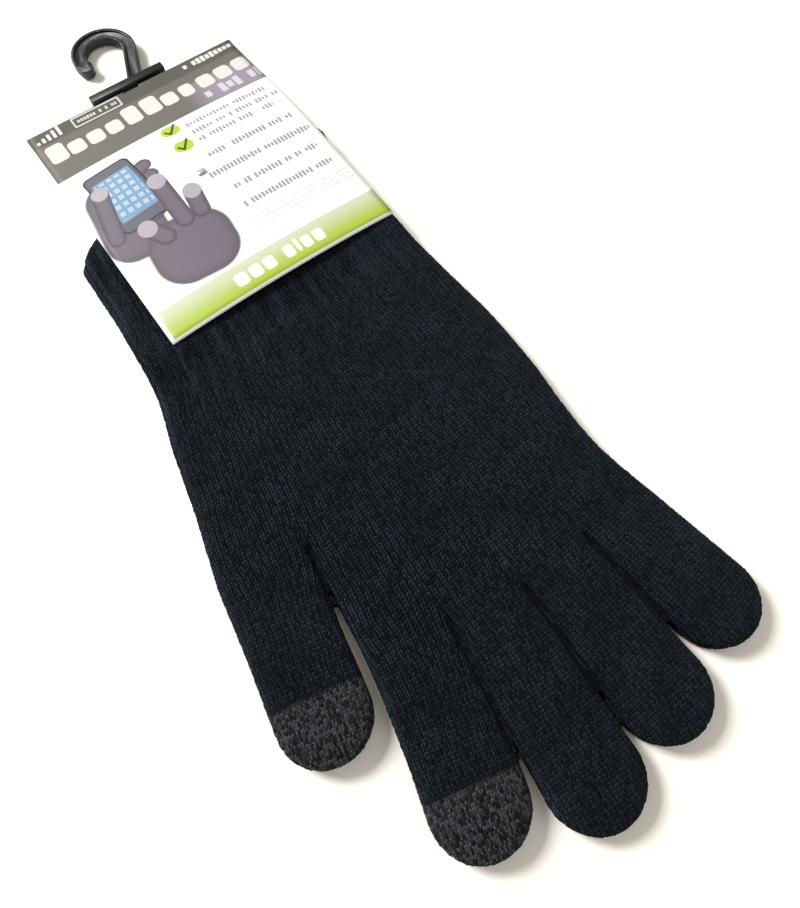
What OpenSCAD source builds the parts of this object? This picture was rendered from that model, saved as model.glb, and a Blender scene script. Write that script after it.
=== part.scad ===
// A pair of knitted touchscreen gloves on a folded header card, lying flat.
// Right glove palm up on top, left glove palm down beneath it, one tag pin
// through the card and both cuffs, and a moulded hook in the card's fold.
// Origin: under the middle of the palms, on the surface the pack lies on.
// +Y runs towards the hook, +X towards the little fingers, +Z up.

/* [Gloves] */
// Thickness of one glove pressed flat
glove_t = 2.9; // [2.4:0.1:3.6]
// Thickness of the knitted fabric
knit_wall = 1.05; // [0.7:0.05:1.1]
// Space between the two gloves
glove_gap = 0.2; // [0.2:0.05:0.6]
// Radius of a fingertip in plan
finger_tip_r = 12; // [10:0.25:12.5]
// How far the fingers reach past the knuckle fold, counted to the ring fingertip's centre
finger_reach = 45.3; // [36:0.5:54]
// How far the thumb reaches past its fold, to the centre of its tip
thumb_reach = 36.5; // [30:0.5:42]
// Length of the conductive tip, past the last black row
tip_cap = 17.3; // [12:0.5:20]
// Distance from the middle of the palms to the knuckle fold
knuckle_y = 48; // [44:0.5:50]
// Distance from the middle of the palms to the wrist fold
wrist_y = 42; // [38:0.5:50]
// Distance from the middle of the palms to the cuff mouth
mouth_y = 103; // [90:0.5:112]
// Sideways slip of the lower glove per millimetre of length
lower_skew = 0.014; // [0:0.001:0.025]

/* [Card] */
// Width of the header card
card_w = 75; // [62:1:90]
// Length of the front panel
card_h = 95; // [80:1:104]
// Thickness of the board
card_t = 0.4; // [0.3:0.05:0.6]
// Distance from the middle of the palms to the top of the fold
card_top = 147.6; // [142:0.2:154]
// Height of the folded edge
fold_h = 2.6; // [2.2:0.1:3.2]
// How far the front panel bows up across its width
card_bow = 1.6; // [0:0.1:3]
// Corner radius of the card's lower corners
card_corner = 1; // [0.5:0.25:3]

/* [Hanger] */
// Radius that sits on the display peg
hook_r = 6.3; // [5:0.1:7]
// Width of the hook's strand
strand_w = 4.5; // [3.5:0.1:5]
// Thickness of the hook's strand
strand_t = 2.8; // [2:0.1:3.4]
// Height of the peg's centre above the fold
hook_rise = 18.9; // [17:0.1:24]
// Length of the hanger's cross flange
flange_w = 26.5; // [20:0.5:36]
// Width of the flange along the hanger
flange_h = 2.6; // [2:0.1:4]
// Depth of the flange, front to back
flange_d = 4.2; // [3.4:0.1:4.4]
// Length of the round bar inside the fold
fold_bar_w = 16; // [10:1:24]

/* [Tag pin] */
// Radius of the filament
filament_r = 0.4; // [0.3:0.05:0.6]
// Length of the bar behind the card
pin_bar = 9; // [7:0.5:12]
// Clearance of the pin in its holes
pin_play = 0.2; // [0.1:0.05:0.4]

/* [Hidden] */
$fn = 48;

black_knit = [0.09, 0.11, 0.14];
grey_knit = [0.30, 0.31, 0.34];
board = [0.93, 0.93, 0.92];
moulding = [0.05, 0.05, 0.06];
filament = [0.62, 0.62, 0.62];

// ---- stack heights -----------------------------------------------------------
seat = 0.1;                               // clearance between board and knit
pin_bar_r = filament_r;
back_z = 2 * pin_bar_r + seat;            // underside of the back panel
cuff_lift = back_z + card_t + seat;       // how far the cuffs ride above the palms
upper_z = glove_t + glove_gap;            // underside of the upper glove
stack_top = upper_z + glove_t;            // top of the upper palm
front_z = stack_top + cuff_lift + seat;   // underside of the front panel over the cuffs

// ---- the glove's outline -----------------------------------------------------
// Across the palm at each height up the glove: [y, x].
left_edge = [[-30, -66.6], [-10, -62.8], [10, -57.1], [30, -52.3], [42, -48.4],
    [50, -46.9], [70, -45.3], [92, -44.6], [120, -44.6]];
right_edge = [[-60, 41.1], [-46, 38.7], [-36, 37.6], [-22, 38.5], [-10, 40.1], [10, 40.7],
    [30, 39.2], [42, 38.5], [50, 37.9], [70, 37.2], [84, 37.6], [95, 39.6],
    [120, 39.6]];

tip_r = finger_tip_r;
crotch_r = 0.2;                           // half the slit between two fingers
thumb_lean = 13;                          // degrees off the glove's length
// Centres of the round tips, and where each pair of digits parts.
thumb_fold = [-50.6, -14.6];
thumb_dir = [-sin(thumb_lean), -cos(thumb_lean)];
thumb_across = [cos(thumb_lean), -sin(thumb_lean)];
thumb_c = thumb_fold + thumb_reach * thumb_dir;
index_c = [-41.7, -knuckle_y - finger_reach + 7.1];
middle_c = [-17.3, -knuckle_y - finger_reach - 4.2];
ring_c = [8.2, -knuckle_y - finger_reach];
little_c = [33.4, -knuckle_y - finger_reach + 7.9];
thumb_crotch = [-39.5, -15.4];
index_crotch = [-22.2, -knuckle_y - 2.3];
middle_crotch = [-2.4, -knuckle_y - 7.3];
ring_crotch = [17.9, -knuckle_y - 6.4];
index_lean = 15;                          // the index tip's colour change, off square
index_dir = [-sin(index_lean), -cos(index_lean)];

function arc(c, r, a0, a1, n = 10) = [for (i = [0:n]) let (a = a0 + (a1 - a0) * i / n)
    c + r * [cos(a), sin(a)]];
function crotch(p) = [p + [-crotch_r, -crotch_r], p, p + [crotch_r, -crotch_r]];
function edge_points(table, y0, y1, n) = [for (i = [0:n]) let (y = y0 + (y1 - y0) * i / n)
    [lookup(y, table), y]];
// Points between two others, bellied out sideways in the middle.
function bellied(a, b, belly, n = 4) = [for (i = [1:n - 1]) let (t = i / n)
    a + (b - a) * t + [4 * belly * t * (1 - t), 0]];

// Each digit's rounded end, from the side nearer the thumb to the other.
thumb_arc = arc(thumb_c, tip_r - 0.2, 168, 348);
index_arc = arc(index_c, tip_r, 170, 348);
middle_arc = arc(middle_c, tip_r, 174, 354);
ring_arc = arc(ring_c, tip_r, 180, 360);
little_arc = arc(little_c, tip_r - 0.3, 188, 368);
index_belly = 1.1;                        // lets the index finger clear the thumb

// The outline runs down the thumb side, round the digits and up the other side.
past_wrist = 12;
outline = concat(
    edge_points(left_edge, wrist_y + past_wrist, -30, 9),
    thumb_arc, crotch(thumb_crotch), bellied(thumb_crotch, index_arc[0], index_belly),
    index_arc, crotch(index_crotch), middle_arc, crotch(middle_crotch),
    ring_arc, crotch(ring_crotch), little_arc,
    edge_points(right_edge, 12 - knuckle_y - 24, wrist_y + past_wrist, 14));

// ---- insetting and stacking outlines -------------------------------------------
function unit(v) = v / norm(v);
function inward(a, b) = let (d = unit(b - a)) [-d[1], d[0]];
function inset(pts, d) = let (n = len(pts)) [for (i = [0:n - 1])
    let (before = inward(pts[(i + n - 1) % n], pts[i]), after = inward(pts[i], pts[(i + 1) % n]),
        mid = unit(before + after))
    pts[i] + mid * d / max(0.6, mid * after)];
// The lower glove drifts aside from the knuckle fold up, so its fingers stay under their twins.
function slipped(p, skew) = [p[0] - skew * max(0, p[1] + knuckle_y), p[1]];

// A closed solid through a stack of rings with the same number of points.
module ring_stack(rings) {
    n = len(rings[0]);
    top = len(rings) - 1;
    points = [for (ring = rings) each ring];
    sides = [for (k = [0:top - 1]) for (i = [0:n - 1]) let (j = (i + 1) % n)
        each [[k * n + i, k * n + j, (k + 1) * n + j], [k * n + i, (k + 1) * n + j, (k + 1) * n + i]]];
    bottom_face = [for (i = [n - 1:-1:0]) i];
    top_face = [for (i = [0:n - 1]) top * n + i];
    polyhedron(points, [for (f = concat([bottom_face, top_face], sides)) [f[2], f[1], f[0],
        each [for (i = [len(f) - 1:-1:3]) f[i]]]], convexity = 10);
}

// How the flattened knit rounds over at its edge: [inset, share of the thickness].
edge_profile = [[1.7, 0], [0.5, 0.16], [0, 0.5], [0.5, 0.84], [1.7, 1]];
cavity_profile = [[0.5, 0], [0, 0.5], [0.5, 1]];

function lifted(pts, skew, z) = [for (p = pts) let (q = slipped(p, skew)) [q[0], q[1], z]];

module glove_shell(z0, skew) {
    cavity = glove_t - 2 * knit_wall;
    difference() {
        ring_stack([for (e = edge_profile)
            lifted(inset(outline, e[0]), skew, z0 + e[1] * glove_t)]);
        ring_stack([for (e = cavity_profile)
            lifted(inset(outline, knit_wall + e[0]), skew, z0 + knit_wall + e[1] * cavity)]);
    }
}

// ---- regions that divide the shell ---------------------------------------------
far = 150;
module half_plane(p, dir) {
    across = [-dir[1], dir[0]];
    polygon([p + far * across, p - far * across, p - far * across + far * dir,
        p + far * across + far * dir]);
}

// Each slit runs from its crotch out between the two digits beside it.
function between(a, b) = (a + b) / 2;
function last(v) = v[len(v) - 1];
thumb_slit = [thumb_crotch,
    between(between(thumb_crotch, last(thumb_arc)), bellied(thumb_crotch, index_arc[0], index_belly)[0]),
    between(last(thumb_arc), bellied(thumb_crotch, index_arc[0], index_belly)[1]),
    between(thumb_arc[8], bellied(thumb_crotch, index_arc[0], index_belly)[2]),
    index_arc[0] + [-5, 0], index_arc[0] + [-25, -far]];
slit_cut = 0.15;                          // half the cut at a crotch, twice that at the fold
function slit(p, a, b, side) = let (m = between(a, b))
    [[p[0] + 2 * side * slit_cut, -knuckle_y], p + [side * slit_cut, -slit_cut * 1.1], p + [0, -1],
        m, m + (m - p) * 3];
function index_slit(side) = slit(index_crotch, last(index_arc), middle_arc[0], side);
function middle_slit(side) = slit(middle_crotch, last(middle_arc), ring_arc[0], side);
function ring_slit(side) = slit(ring_crotch, last(ring_arc), little_arc[0], side);
open_side = [[60, -knuckle_y], [60, -far]];

// Everything past the thumb's fold on the thumb's side of its slit.
module thumb_region() {
    intersection() {
        half_plane(thumb_fold, thumb_dir);
        polygon(concat([[-far, far], thumb_crotch + [0, far]], thumb_slit, [[-far, -far]]));
    }
}

// The strip of one finger past the knuckle fold, between the slits beside it.
module finger_region(left, right) {
    intersection() {
        half_plane([0, -knuckle_y], [0, -1]);
        polygon(concat(left, [for (i = [len(right) - 1:-1:0]) right[i]]));
    }
}

module thumb_tip_region() { half_plane(thumb_c + (tip_r - tip_cap) * thumb_dir, thumb_dir); }
module index_tip_region() { half_plane(index_c + (tip_r - tip_cap) * index_dir, index_dir); }

module palm_region() {
    difference() {
        translate([-far, -knuckle_y]) square([2 * far, knuckle_y + wrist_y]);
        thumb_region();
    }
}

module slipped_region(skew) {
    intersection() { children(); half_plane([0, -knuckle_y], [0, -1]); }
    multmatrix([[1, -skew, 0, -skew * knuckle_y], [0, 1, 0, 0], [0, 0, 1, 0], [0, 0, 0, 1]])
        intersection() { children(); half_plane([0, -knuckle_y], [0, 1]); }
}

// Keeps the part of a shell that stands over a region drawn on the unslipped glove.
// The resize leaves every size as it is, and takes the knit as one mesh.
module cut_from_shell(upper) {
    z0 = upper ? upper_z : 0;
    skew = upper ? 0 : lower_skew;
    resize([0, 0, 0]) intersection() {
        glove_shell(z0, skew);
        translate([0, 0, z0 - 1]) linear_extrude(height = glove_t + 2)
            slipped_region(skew) children();
    }
}

module glove_palm(upper) { color(black_knit) cut_from_shell(upper) palm_region(); }
module glove_thumb(upper) {
    color(black_knit) cut_from_shell(upper) difference() { thumb_region(); thumb_tip_region(); }
}
module glove_thumb_tip(upper) {
    color(grey_knit) cut_from_shell(upper) intersection() { thumb_region(); thumb_tip_region(); }
}
module glove_index_finger(upper) {
    color(black_knit) cut_from_shell(upper)
        difference() { finger_region(thumb_slit, index_slit(-1)); index_tip_region(); }
}
module glove_index_tip(upper) {
    color(grey_knit) cut_from_shell(upper)
        intersection() { finger_region(thumb_slit, index_slit(-1)); index_tip_region(); }
}
module glove_middle_finger(upper) {
    color(black_knit) cut_from_shell(upper) finger_region(index_slit(1), middle_slit(-1));
}
module glove_ring_finger(upper) {
    color(black_knit) cut_from_shell(upper) finger_region(middle_slit(1), ring_slit(-1));
}
module glove_little_finger(upper) {
    color(black_knit) cut_from_shell(upper) finger_region(ring_slit(1), open_side);
}

// ---- cuff ------------------------------------------------------------------------
// The cuff climbs from the palm's level onto the card's back panel.
function ease(t) = let (u = min(1, max(0, t))) u * u * (3 - 2 * u);
mouth_drop = 9.5;                         // how far the mouth's corners sit back from its middle
mouth_half = 44.6;
cuff_climb = 10;                          // length over which the cuff steps up
cuff_rows = [0, 2, 4, 6, 8, 10, 20, 32, 46, 70];
across_steps = 8;

// One section: up the left side, along the top, down the right side and back.
function cuff_ring(s, trim, z0, t, profile, skew) =
    let (n = len(profile) - 1, y = wrist_y + s,
        xl = lookup(y, left_edge) + trim, xr = lookup(y, right_edge) - trim,
        half = (xr - xl) / 2, mid = slipped([(xl + xr) / 2, y], skew)[0],
        lift = cuff_lift * ease(s / cuff_climb),
        side_l = [for (k = [0:n]) [-half + profile[k][0], profile[k][1]]],
        side_r = [for (k = [n:-1:0]) [half - profile[k][0], profile[k][1]]],
        steps = [for (i = [1:across_steps - 1]) 2 * i / across_steps - 1],
        top_row = [for (u = steps) [(half - profile[n][0]) * u, 1]],
        low_row = [for (u = steps) [-(half - profile[0][0]) * u, 0]])
    [for (p = concat(side_l, top_row, side_r, low_row)) [mid + p[0], y, z0 + lift + p[1] * t]];

// Everything short of the cuff's gently rounded mouth.
module cuff_region() {
    polygon(concat([[far, wrist_y], [-far, wrist_y], [-far, mouth_y - 3 * mouth_drop]],
        [for (i = [-12:12]) let (u = i / 10) [u * mouth_half, mouth_y - mouth_drop * pow(u, 4)]],
        [[far, mouth_y - 3 * mouth_drop]]));
}

module glove_cuff(upper) {
    z0 = upper ? upper_z : 0;
    skew = upper ? 0 : lower_skew;
    cavity = glove_t - 2 * knit_wall;
    color(black_knit) resize([0, 0, 0]) intersection() {
        difference() {
            ring_stack([for (s = cuff_rows) cuff_ring(s, 0, z0, glove_t, edge_profile, skew)]);
            ring_stack([for (s = concat([-1], cuff_rows, [80]))
                cuff_ring(s, knit_wall, z0 + knit_wall, cavity, cavity_profile, skew)]);
            pin_hole();
        }
        translate([0, 0, z0 - 1]) linear_extrude(height = glove_t + cuff_lift + 2)
            slipped_region(skew) cuff_region();
    }
}

// ---- header card -----------------------------------------------------------------
fold_r = fold_h / 2;                      // outside radius of the fold
fold_y = card_top - fold_r;
fold_z = back_z + fold_r;
card_low = card_top - card_h;
board_rise = front_z + card_t - back_z - fold_h;   // climb from the fold to the cuffs
rise_len = fold_y - mouth_y + 0.5;        // the front panel is up at the cuffs' mouths
rise_rows = 12;
fold_rows = 8;
card_cols = 12;

// Outer face of the board: [y, z at the card's side, bow in the middle].
function back_row(i) = [card_low + (fold_y - card_low) * i / 2, back_z, 0];
function fold_row(i) = let (a = -90 + 180 * i / fold_rows)
    [fold_y + fold_r * cos(a), fold_z + fold_r * sin(a), 0];
function front_row(i) = let (t = i / rise_rows)
    [fold_y - rise_len * t, back_z + fold_h + board_rise * ease(t), card_bow * ease(t)];
front_end = [card_low, back_z + fold_h + board_rise, card_bow];
path = concat([for (i = [0:1]) back_row(i)], [for (i = [0:fold_rows]) fold_row(i)],
    [for (i = [1:rise_rows]) front_row(i)], [front_end]);
path_last = len(path) - 1;

function path_normal(i) = let (a = path[max(0, i - 1)], b = path[min(path_last, i + 1)],
        d = unit([b[0] - a[0], b[1] - a[1]]))
    [d[1], -d[0]];
function board_point(i, u, depth) = let (p = path[i], n = path_normal(i))
    [u * card_w / 2, p[0] - n[0] * depth, p[1] + p[2] * (1 - u * u) - n[1] * depth];

// The board as one folded sheet: rings run round the sheet's cross-section.
module folded_board() {
    rings = [for (i = [0:path_last]) concat(
        [for (j = [0:card_cols]) board_point(i, 2 * j / card_cols - 1, 0)],
        [for (j = [card_cols:-1:0]) board_point(i, 2 * j / card_cols - 1, card_t)])];
    ring_stack(rings);
}

neck_w = 5;                               // the hanger's neck, through the fold
neck_t = 1.3;
neck_play = 0.3;
bar_play = 0.08;                          // running clearance of the bar in the fold
bar_r = fold_r - card_t - bar_play;
hanger_tilt = 30;                         // how far the hanger swings up

module pin_hole() {
    translate([pin_x, pin_y, -1]) cylinder(r = filament_r + pin_play, h = front_z + 10);
}

module header_card() {
    slot_w = neck_w + 2 * neck_play;
    color(board) resize([0, 0, 0]) difference() {
        folded_board();
        // slot for the neck, from level up to its full tilt
        translate([-slot_w / 2, fold_y - 0.2, fold_z - neck_t / 2 - neck_play])
            cube([slot_w, fold_r + 1, neck_t + 2 * neck_play + fold_r * sin(hanger_tilt)]);
        pin_hole();
    }
}

// ---- hanger ----------------------------------------------------------------------
stem_lean = 22;                           // degrees the stem leans off the hanger's length
peg = [0.5, card_top + hook_rise];
strand_mid = hook_r + strand_w / 2;
tip_angle = 198;
web_t = 1.5;                              // the strand is an I in section
rib_w = 0.9;
weld = 0.2;                               // overlap where the stem runs out of the hook
flange_gap = 0.3;                         // between the flange and the fold
flange_y = card_top + flange_gap;
stem_top = peg + strand_mid * [cos(-stem_lean), sin(-stem_lean)];
stem_len = (stem_top[1] - flange_y - flange_h / 2) / cos(stem_lean);
stem_dir = [-sin(stem_lean), -cos(stem_lean)];
stem_foot = stem_top + stem_len * stem_dir;

// The strand's section, with x counted from its inner face.
module strand_section() {
    difference() {
        translate([0, -strand_t / 2]) square([strand_w, strand_t]);
        for (side = [-1, 1])
            translate([rib_w, side > 0 ? web_t / 2 : -strand_t / 2 - 1])
                square([strand_w - 2 * rib_w, (strand_t - web_t) / 2 + 1]);
    }
}

module hanger_hook() {
    color(moulding) translate([0, 0, fold_z]) {
        translate([peg[0], peg[1], 0]) rotate([0, 0, -stem_lean])
            rotate_extrude(angle = tip_angle + stem_lean, $fn = 96)
                translate([hook_r, 0]) strand_section();
        translate([peg[0] + strand_mid * cos(tip_angle), peg[1] + strand_mid * sin(tip_angle),
            -strand_t / 2]) cylinder(d = strand_w + 0.3, h = strand_t);
        translate([stem_top[0], stem_top[1], 0]) rotate([0, 0, -stem_lean])
            rotate([90, 0, 0]) translate([-strand_w / 2, 0, -weld])
                linear_extrude(height = stem_len + weld) strand_section();
        // gusset that blends the stem into the flange
        translate([0, 0, -web_t / 2]) linear_extrude(height = web_t)
            polygon([stem_foot + [-2, 0], stem_foot + [2.4, 4.5], stem_foot + [3.6, 2.4],
                stem_foot + [6.4, 1], stem_foot + [6.4, -1]]);
        translate([-flange_w / 2, flange_y, -flange_d / 2])
            cube([flange_w, flange_h, flange_d]);
        translate([-neck_w / 2, fold_y, -neck_t / 2])
            cube([neck_w, flange_y - fold_y + 0.5, neck_t]);
        translate([-fold_bar_w / 2, fold_y, 0]) rotate([0, 90, 0])
            cylinder(r = bar_r, h = fold_bar_w);
    }
}

// ---- tag pin -----------------------------------------------------------------------
pin_x = -1;
pin_y = mouth_y - 5.5;
head_w = 2.6;
head_d = 1.6;
head_t = 0.6;
head_z = front_z + card_t + card_bow + 0.05;

module tag_pin() {
    color(filament) {
        translate([pin_x, pin_y, pin_bar_r]) cylinder(r = filament_r, h = head_z - pin_bar_r);
        translate([pin_x - pin_bar / 2, pin_y, pin_bar_r]) rotate([0, 90, 0])
            cylinder(r = pin_bar_r, h = pin_bar);
        translate([pin_x - head_w / 2, pin_y - head_d / 2, head_z - 0.01])
            cube([head_w, head_d, head_t]);
    }
}

header_card();
hanger_hook();
tag_pin();
glove_cuff(true);  // right_glove_cuff
glove_palm(true);  // right_glove_palm
glove_thumb(true);  // right_glove_thumb
glove_index_finger(true);  // right_glove_index_finger
glove_middle_finger(true);  // right_glove_middle_finger
glove_ring_finger(true);  // right_glove_ring_finger
glove_little_finger(true);  // right_glove_little_finger
glove_thumb_tip(true);  // right_glove_thumb_tip
glove_index_tip(true);  // right_glove_index_tip
glove_cuff(false);  // left_glove_cuff
glove_palm(false);  // left_glove_palm
glove_thumb(false);  // left_glove_thumb
glove_index_finger(false);  // left_glove_index_finger
glove_middle_finger(false);  // left_glove_middle_finger
glove_ring_finger(false);  // left_glove_ring_finger
glove_little_finger(false);  // left_glove_little_finger
glove_thumb_tip(false);  // left_glove_thumb_tip
glove_index_tip(false);  // left_glove_index_tip
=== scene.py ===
# %% [markdown]
# # A pair of touchscreen gloves on a header card
#
# The pack is two plain knitted gloves laid one on the other, held to a folded
# printed card by a tag pin, with a moulded hook in the card's fold. The packed
# frame gives every size and place; this script gives each piece its real
# surface. Lengths are in metres, and `MM` turns the maker's millimetres into
# them.

# %% Load the frame
import math

import bmesh
import bpy
import numpy as np
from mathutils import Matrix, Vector


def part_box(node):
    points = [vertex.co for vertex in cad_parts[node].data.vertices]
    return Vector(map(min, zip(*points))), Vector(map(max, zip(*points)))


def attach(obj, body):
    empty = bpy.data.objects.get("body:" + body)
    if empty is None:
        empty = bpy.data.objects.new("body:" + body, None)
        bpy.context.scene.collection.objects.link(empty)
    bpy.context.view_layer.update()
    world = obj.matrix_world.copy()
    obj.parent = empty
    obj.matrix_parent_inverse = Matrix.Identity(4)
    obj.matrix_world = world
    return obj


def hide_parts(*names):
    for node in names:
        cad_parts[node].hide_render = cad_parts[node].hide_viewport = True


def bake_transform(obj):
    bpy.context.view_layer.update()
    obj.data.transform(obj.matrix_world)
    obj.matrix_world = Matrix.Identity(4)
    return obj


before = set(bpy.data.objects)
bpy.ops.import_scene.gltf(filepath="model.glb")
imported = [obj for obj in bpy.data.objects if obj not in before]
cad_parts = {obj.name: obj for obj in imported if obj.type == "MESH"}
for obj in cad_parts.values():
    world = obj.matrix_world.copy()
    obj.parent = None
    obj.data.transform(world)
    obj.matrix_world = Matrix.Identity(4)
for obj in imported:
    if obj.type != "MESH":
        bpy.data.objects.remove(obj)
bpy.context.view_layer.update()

MM = 0.001

# %% [markdown]
# ## Camera
#
# A camera is an object that looks along its own -Z. Building its turn from
# three directions (right, up and back) is clearer than juggling angles. The
# lens is a 28 mm wide-angle one, held about 18 cm above the table, so the near
# fingers look larger than the card.

# %% Aim the camera
CAMERA_SPOT = Vector((-45.94, -59.99, 177.10)) * MM
CAMERA_HEADING = math.radians(-38.1)
CAMERA_DIP = math.radians(69.4)
CAMERA_ROLL = math.radians(1.51)
CAMERA_LENS = 27.75


def aim_camera():
    right = Vector((math.cos(CAMERA_HEADING), math.sin(CAMERA_HEADING), 0))
    level = Vector((-right.y, right.x, 0))
    forward = level * math.cos(CAMERA_DIP) - Vector((0, 0, math.sin(CAMERA_DIP)))
    up = right.cross(forward)
    across = right * math.cos(CAMERA_ROLL) + up * math.sin(CAMERA_ROLL)
    upward = up * math.cos(CAMERA_ROLL) - right * math.sin(CAMERA_ROLL)
    data = bpy.data.cameras.new("camera")
    data.lens = CAMERA_LENS
    data.clip_start = 0.01
    camera = bpy.data.objects.new("camera", data)
    bpy.context.scene.collection.objects.link(camera)
    turn = camera.matrix_world.to_3x3()
    turn.col[0], turn.col[1], turn.col[2] = across, upward, -forward
    camera.matrix_world = turn.to_4x4()
    camera.location = CAMERA_SPOT
    bpy.context.scene.camera = camera
    return camera


camera = aim_camera()
print("camera lens", camera.data.lens, "at", tuple(round(v, 3) for v in camera.location))

# %% [markdown]
# ## Floor and light
#
# Black knit shows its stitches only in raking light, so one area light, twice
# as wide as the gloves are long, shines from beyond the hook. The pale world
# fills the shadows, which stay soft beside the fingers, and a weak wide light
# on the finger side lifts the darkest knit.

# %% A short way to make an object and a material
def new_object(name, mesh):
    piece = bpy.data.objects.new(name, mesh)
    bpy.context.scene.collection.objects.link(piece)
    return piece


def object_from(name, bm):
    mesh = bpy.data.meshes.new(name)
    bm.to_mesh(mesh)
    bm.free()
    return new_object(name, mesh)


def new_material(name):
    material = bpy.data.materials.new(name)
    material.use_nodes = True
    return material, material.node_tree, material.node_tree.nodes["Principled BSDF"]


# %% Lay the floor and hang the lights
FLOOR_COLOUR = (0.94, 0.905, 0.84, 1)
SKY_COLOUR = (1.0, 0.955, 0.87, 1)
SKY_STRENGTH = 0.42
# Each light's place and width in metres, and its power in watts.
LIGHTS = {"window": ((-0.45, 0.85, 0.8), 0.42, 24), "front_fill": ((0.5, -0.5, 0.9), 0.9, 2.5)}


def lay_floor():
    bm = bmesh.new()
    bmesh.ops.create_grid(bm, x_segments=1, y_segments=1, size=3)
    floor = object_from("floor", bm)
    floor.location.z = -0.05 * MM
    material, _, paint = new_material("pale_floor")
    paint.inputs["Base Color"].default_value = FLOOR_COLOUR
    paint.inputs["Roughness"].default_value = 0.8
    paint.inputs["Specular IOR Level"].default_value = 0.1
    floor.data.materials.append(material)


def hang_area_light(name, spot, size, power):
    data = bpy.data.lights.new(name, "AREA")
    data.size = size
    data.energy = power
    light = bpy.data.objects.new(name, data)
    light.location = spot
    light.rotation_euler = Vector(spot).to_track_quat("Z", "Y").to_euler()
    bpy.context.scene.collection.objects.link(light)


def light_the_world():
    world = bpy.data.worlds.new("studio")
    world.use_nodes = True
    sky = world.node_tree.nodes["Background"]
    sky.inputs["Color"].default_value = SKY_COLOUR
    sky.inputs["Strength"].default_value = SKY_STRENGTH
    bpy.context.scene.world = world


lay_floor()
light_the_world()
for light_name, (spot, width, power) in LIGHTS.items():
    hang_area_light(light_name, spot, width, power)
bpy.context.scene.view_settings.view_transform = "Standard"

# %% [markdown]
# ## The glove's outline
#
# A stretch glove comes off the knitting machine as a flat tube, so it lies
# almost as a plate cut to the glove's outline. The round ends come from the
# frame's boxes: the centre of each fingertip is one radius in from the box.
# Between the ends the sides run nearly straight to the crotches.

# %% Fingertips from the frame, crotches and edges listed
TIP_R = 12 * MM
THUMB_R = 11.8 * MM
LITTLE_R = 11.7 * MM
WRIST_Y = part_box("right_glove_palm")[1].y
KNUCKLE_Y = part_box("right_glove_palm")[0].y
MOUTH_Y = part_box("right_glove_cuff")[1].y
UPPER_LOW, UPPER_HIGH = (corner.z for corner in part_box("right_glove_palm"))
LOWER_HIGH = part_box("left_glove_palm")[1].z
CUFF_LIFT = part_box("right_glove_cuff")[1].z - UPPER_HIGH
THICK = UPPER_HIGH - UPPER_LOW


def corner_centre(node, radius, right=False):
    low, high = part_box(node)
    x = high.x - radius if right else low.x + radius
    return Vector((x, low.y + radius))


THUMB_TIP = corner_centre("right_glove_thumb_tip", THUMB_R)
INDEX_TIP = corner_centre("right_glove_index_tip", TIP_R)
MIDDLE_TIP = corner_centre("right_glove_middle_finger", TIP_R)
RING_TIP = corner_centre("right_glove_ring_finger", TIP_R)
LITTLE_TIP = corner_centre("right_glove_little_finger", LITTLE_R, right=True)

THUMB_CROTCH = Vector((-39.5, -15.4)) * MM
INDEX_CROTCH = Vector((-22.2, -50.3)) * MM
MIDDLE_CROTCH = Vector((-2.4, -55.3)) * MM
RING_CROTCH = Vector((17.9, -54.4)) * MM
THUMB_FOLD = Vector((-50.6, -14.6)) * MM
THUMB_DIR = (THUMB_TIP - THUMB_FOLD).normalized()

# The long edges as (y, x) in millimetres, from the thumb up and the little finger up.
THUMB_EDGE = [(-30, -66.6), (-10, -62.8), (10, -57.1), (30, -52.3), (42, -48.4),
              (50, -46.9), (70, -45.3), (92, -44.6)]
LITTLE_EDGE = [(-60, 41.1), (-46, 38.7), (-36, 37.6), (-22, 38.5), (-10, 40.1), (10, 40.7),
               (30, 39.2), (42, 38.5), (50, 37.9), (70, 37.2), (84, 37.6), (95, 39.6)]
SIDE_TOP = 92
MOUTH_LEFT, MOUTH_RIGHT = -44.6, 39.5
MOUTH_DROP = 9.5
NOTCH_HALF = 0.85 * MM
print("tip centres", [tuple(round(c / MM, 1) for c in tip)
                      for tip in (THUMB_TIP, INDEX_TIP, MIDDLE_TIP, RING_TIP, LITTLE_TIP)])


# %% The outline as one closed run of points, and the slits between the fingers
def arc(centre, radius, start, end, steps=14):
    angles = [math.radians(start + (end - start) * i / steps) for i in range(steps + 1)]
    return [centre + radius * Vector((math.cos(a), math.sin(a))) for a in angles]


def edge(table, low, high, steps):
    ys, xs = zip(*table)
    return [Vector((np.interp(y, ys, xs), y)) * MM for y in np.linspace(low, high, steps)]


def bellied(start, end, belly, steps=5):
    shares = [i / steps for i in range(1, steps)]
    return [start.lerp(end, t) + Vector((4 * belly * t * (1 - t), 0)) for t in shares]


THUMB_ARC = arc(THUMB_TIP, THUMB_R, 168, 348)
INDEX_ARC = arc(INDEX_TIP, TIP_R, 170, 348)
MIDDLE_ARC = arc(MIDDLE_TIP, TIP_R, 174, 354)
RING_ARC = arc(RING_TIP, TIP_R, 180, 360)
LITTLE_ARC = arc(LITTLE_TIP, LITTLE_R, 188, 368)


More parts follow.
